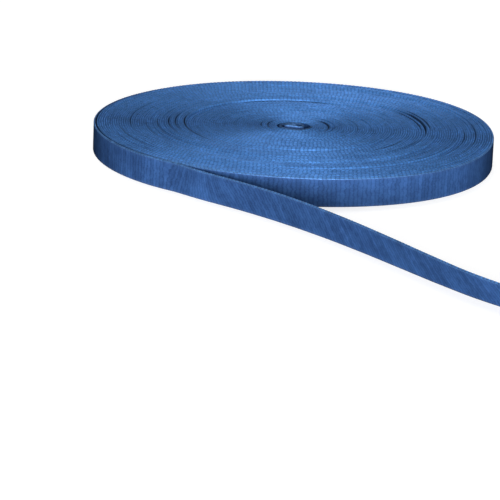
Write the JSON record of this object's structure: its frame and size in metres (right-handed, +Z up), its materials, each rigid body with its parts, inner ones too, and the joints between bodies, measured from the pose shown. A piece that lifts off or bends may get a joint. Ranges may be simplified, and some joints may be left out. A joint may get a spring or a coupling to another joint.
{
  "type": "roll of nylon webbing",
  "caption": "Flat coil of narrow woven nylon webbing wound on edge, with its outer end running off across the surface.",
  "frame": {"origin": "the coil's axis, at the height of the surface that it lies on, under the folded start of the strip", "axes": "+Z up, out of the coil's flat face; +X to the right and +Y away in the view from the front"},
  "size_m": [0.3755, 0.6531, 0.0263],
  "materials": {
    "nylon_webbing": "dyed nylon, ribbed narrow weave with a slight sheen"
  },
  "bodies": {
    "root": {"wound_roll": "nylon_webbing", "loose_end": "nylon_webbing"}
  },
  "joints": []
}
